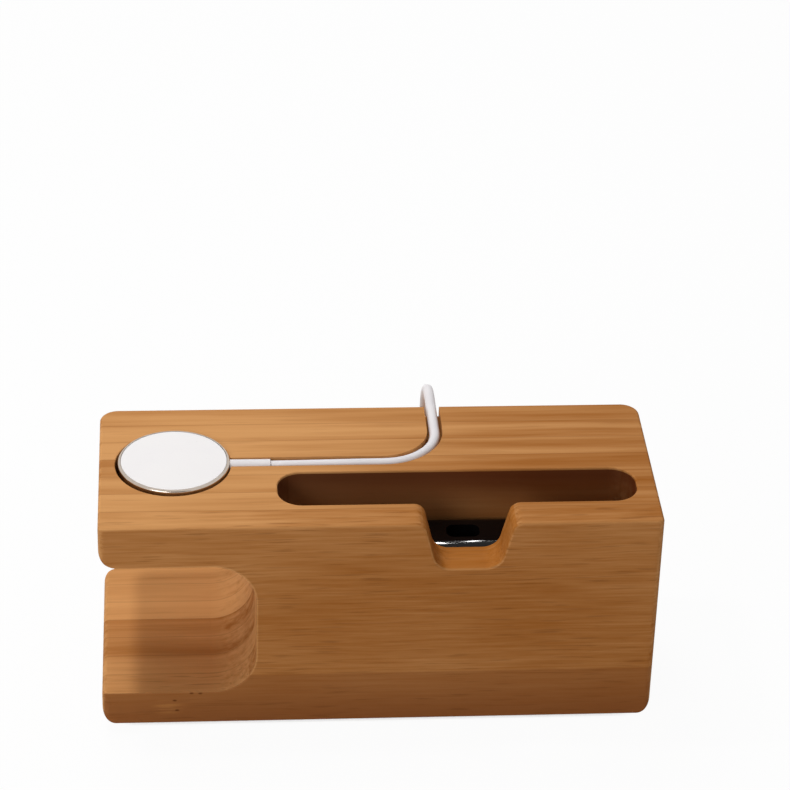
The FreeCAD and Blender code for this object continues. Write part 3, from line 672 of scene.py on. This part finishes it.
# Over the back edge and down to the table.
FREE_ROUTE = [
    (16.0, 27.5, 60.2),
    (16.0, 39.5, 60.2),
    (16.2, 48.7, 51.6),
    (16.4, 49.2, 37.6),
    (16.3, 46.0, 24.0),
    (16.0, 47.2, 11.0),
    (16.0, 57.0, 2.05),
    (16.0, 69.0, 2.05),
]
# Steps of the tail, each from the end of the coil.
TAIL_ROUTE = [
    (0.0, 0.0, 0.0),
    (-7.5, -7.5, 0.0),
    (-18.0, -12.9, -0.7),
    (-29.7, -15.4, -1.3),
    (-41.2, -15.4, -1.3),
]
# The coil winds in along the table and out on a second layer. Its pitch is also the layers' distance, and
# around the middle of its length it keeps its radius over about this angle.
COIL_TURNS = 7.625
COIL_PITCH = 3.25
COIL_INNER_RADIUS = 10.0
COIL_REVERSAL = 0.8
COIL_POINTS_PER_TURN = 24


def eased(share):
    """0 to 1, with a level start and end."""
    return share**2 * (3 - 2 * share)


def coil_radius(turned):
    """Radius of the coil at an angle counted from the middle of its length."""
    swing = math.hypot(turned, COIL_REVERSAL) - COIL_REVERSAL
    return COIL_INNER_RADIUS + COIL_PITCH / (2 * math.pi) * swing


def coil_route(start):
    """Points of the put-away coil, and the place where the lead leaves it."""
    span = math.pi * COIL_TURNS
    middle = start + Vector((coil_radius(span), LEAD_DIAMETER, 0))
    widened = 1 / math.cos(math.pi / COIL_POINTS_PER_TURN)
    steps = round(COIL_TURNS * COIL_POINTS_PER_TURN)
    points = []
    for step in range(steps + 1):
        turned = -span + 2 * span * step / steps
        angle = math.pi - (turned + span)
        share = min(max(turned / math.pi + 0.5, 0.0), 1.0)
        reach = coil_radius(turned) * widened
        lift = COIL_PITCH * eased(share)
        points.append(middle + Vector((reach * math.cos(angle), reach * math.sin(angle), lift)))
    leaving = Vector((math.sin(angle), -math.cos(angle), 0))
    return points, points[-1] + leaving * LEAD_DIAMETER


def smooth_line(points):
    """Points along the smooth spline that has these millimetre points as its control points."""
    data = bpy.data.curves.new("route", "CURVE")
    data.dimensions = "3D"
    data.resolution_u = LEAD_STEPS
    spline = data.splines.new("NURBS")
    spline.points.add(len(points) - 1)
    for knot, point in zip(spline.points, points):
        knot.co = (*(Vector(point) * MM), 1.0)
    spline.order_u = 3
    spline.use_endpoint_u = True
    carrier = add_object("route", data)
    bpy.context.view_layer.update()
    mesh = bpy.data.meshes.new_from_object(carrier)
    line = [vertex.co.copy() for vertex in mesh.vertices]
    bpy.data.objects.remove(carrier)
    bpy.data.curves.remove(data)
    bpy.data.meshes.remove(mesh)
    return line


def tube(name, line, radius, sides):
    """A closed round tube along a line, with no twist."""
    vertices = []
    faces = []
    way = (line[1] - line[0]).normalized()
    aside = way.orthogonal().normalized()
    for number, point in enumerate(line):
        before = line[max(number - 1, 0)]
        after = line[min(number + 1, len(line) - 1)]
        turned = (after - before).normalized()
        aside.rotate(way.rotation_difference(turned))
        way = turned
        other = way.cross(aside)
        for side in range(sides):
            angle = 2 * math.pi * side / sides
            vertices.append(point + (aside * math.cos(angle) + other * math.sin(angle)) * radius)
    for ring in range(len(line) - 1):
        first = ring * sides
        second = first + sides
        for side in range(sides):
            beside = (side + 1) % sides
            faces.append((first + side, first + beside, second + beside, second + side))
    faces.append(tuple(reversed(range(sides))))
    faces.append(tuple(range(len(vertices) - sides, len(vertices))))
    mesh = bpy.data.meshes.new(name)
    mesh.from_pydata(vertices, [], faces)
    mesh.shade_smooth()
    return add_object(name, mesh)


def make_lead(material):
    """The lead from its sleeve to its plug, as one cord."""
    coil, coil_end = coil_route(Vector(FREE_ROUTE[-1]))
    tail = [coil_end + Vector(step) for step in TAIL_ROUTE]
    line = smooth_line([*GROOVE_ROUTE, *FREE_ROUTE, *coil, *tail])
    lead = tube("lead", line, LEAD_DIAMETER / 2 * MM, LEAD_SIDES)
    finish_with(lead, material)
    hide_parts("lead_groove_run", "lead_free_run", "lead_coil", "lead_tail")
    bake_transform(lead)


# Stage and light, in metres

FLOOR_SIDE = 6.0
FLOOR_WHITE = 0.86
FLOOR_GLOW = 0.955
# The floor under the object doesn't glow: what it sees of the open, and how far it looks.
FLOOR_OPEN = (0.02, 0.16)
FLOOR_LOOK = 0.08
AMBIENT = 0.26
# In front of the object the room is darker, which shows in metal: the direction, the cosines of the angles
# between which it fades, and how dark it is.
ROOM_WAY = Vector((0.06, -0.82, 0.57))
ROOM_EDGE = (0.86, 0.97)
ROOM_DARK = 0.75
# A key lamp above on the left, a soft lamp behind, and a fill in front on the left: the place of each, its
# width and height, its power, and whether it shows in what is glossy. They point at one place.
LAMPS = {
    "key_lamp": ((-0.15, 0.05, 0.47), (0.04, 0.04), 0.56, False),
    "back_lamp": ((-0.15, 0.55, 0.75), (0.30, 0.30), 3.0, False),
    "fill_lamp": ((-0.45, -0.75, 0.45), (0.50, 0.30), 2.75, True),
}
LAMP_AIM = Vector((0.0, 0.0, 0.03))
# Two narrow strips run where they show as two glints on the insert's rim, and light nothing else: the two
# ends of each, and its power.
STRIPS = {
    "left_strip": ((0.0554, 0.1967, 0.4988), (0.0550, 0.0392, 0.5099), 0.27),
    "right_strip": ((0.0684, 0.1965, 0.4985), (0.0710, 0.4130, 0.3027), 0.31),
}
STRIP_WIDTH = 0.003
INSERT_RIM = Vector((0.020, -0.0155, 0.0477))


def seen_directly(graph):
    """1 for rays from the camera and for what shows in metal and glass, 0 for the light on the object."""
    path = graph.node("ShaderNodeLightPath").outputs
    shown = graph.maths("MAXIMUM", path["Is Camera Ray"], path["Is Glossy Ray"])
    return graph.maths("MAXIMUM", shown, path["Is Transmission Ray"])


def make_floor():
    """A pale floor that keeps a soft shadow."""
    half = FLOOR_SIDE / 2
    corners = [(-half, -half, 0), (half, -half, 0), (half, half, 0), (-half, half, 0)]
    mesh = bpy.data.meshes.new("floor")
    mesh.from_pydata(corners, [], [(0, 1, 2, 3)])
    floor = add_object("floor", mesh)
    graph = Graph("floor_white")
    pale = graph.node("ShaderNodeBsdfDiffuse", {"Color": (FLOOR_WHITE, FLOOR_WHITE, FLOOR_WHITE, 1.0)})
    glow = graph.node("ShaderNodeEmission", {"Color": WHITE, "Strength": 1.0})
    in_open = graph.node("ShaderNodeAmbientOcclusion", {"Distance": FLOOR_LOOK}).outputs["AO"]
    share = product(graph, seen_directly(graph), graph.ranged(in_open, *FLOOR_OPEN), FLOOR_GLOW)
    both = graph.node("ShaderNodeMixShader", {0: share, 1: pale.outputs[0], 2: glow.outputs[0]})
    graph.node("ShaderNodeOutputMaterial", {"Surface": both.outputs[0]})
    finish_with(floor, graph.material)


class WorldGraph(Graph):
    """The world's nodes."""

    def __init__(self, name):
        world = bpy.data.worlds.new(name)
        world.use_nodes = True
        bpy.context.scene.world = world
        self.tree = world.node_tree
        self.tree.nodes.clear()


def shown_white(graph):
    """The white that the camera sees all round, and that metal sees except towards the dark of the room."""
    way = graph.node("ShaderNodeTexCoord").outputs["Generated"]
    sockets = {0: way, 1: ROOM_WAY.normalized()}
    towards = graph.node("ShaderNodeVectorMath", sockets, operation="DOT_PRODUCT").outputs["Value"]
    glossy = graph.node("ShaderNodeLightPath").outputs["Is Glossy Ray"]
    return rest_of(graph, product(graph, glossy, graph.ranged(towards, *ROOM_EDGE, 0.0, ROOM_DARK)))


def make_world():
    """A white surround that lights the object at a plain level."""
    graph = WorldGraph("surround")
    light = graph.node("ShaderNodeBackground", {"Color": WHITE, "Strength": AMBIENT})
    white = graph.node("ShaderNodeBackground", {"Color": WHITE, "Strength": shown_white(graph)})
    sockets = {0: seen_directly(graph), 1: light.outputs[0], 2: white.outputs[0]}
    both = graph.node("ShaderNodeMixShader", sockets)
    graph.node("ShaderNodeOutputWorld", {"Surface": both.outputs[0]})


def add_lamp(name, width, height, power):
    """A flat lamp of some width and height."""
    data = bpy.data.lights.new(name, "AREA")
    data.shape = "RECTANGLE"
    data.size = width
    data.size_y = height
    data.energy = power
    return add_object(name, data)


def make_lamp(name, place, size, power, shows):
    """A lamp that points at the object."""
    lamp = add_lamp(name, *size, power)
    lamp.location = place
    lamp.rotation_mode = "QUATERNION"
    lamp.rotation_quaternion = (LAMP_AIM - Vector(place)).to_track_quat("-Z", "Y")
    lamp.visible_glossy = shows


def make_strip(name, first, second, power, lit):
    """A narrow lamp from one place to another that faces the insert's rim and lights only some pieces."""
    step = Vector(second) - Vector(first)
    middle = (Vector(first) + Vector(second)) / 2
    along = step.normalized()
    back = middle - INSERT_RIM
    back = (back - along * back.dot(along)).normalized()
    turned = Matrix((along.cross(back), along, back)).transposed().to_4x4()
    turned.translation = middle
    strip = add_lamp(name, STRIP_WIDTH, step.length, power)
    strip.matrix_world = turned
    strip.visible_diffuse = False
    strip.light_linking.receiver_collection = lit


def make_light():
    """The lamps on the object, and the strips for the insert's glints."""
    for name, (place, size, power, shows) in LAMPS.items():
        make_lamp(name, place, size, power, shows)
    glinting = bpy.data.collections.new("glinting_pieces")
    glinting.objects.link(nodes["connector_insert"])
    for name, (first, second, power) in STRIPS.items():
        make_strip(name, first, second, power, glinting)


bpy.context.scene.view_settings.view_transform = "Standard"
make_camera()
dress_staves()
lead_white = dress_small_pieces()
make_lead(lead_white)
make_floor()
make_world()
make_light()
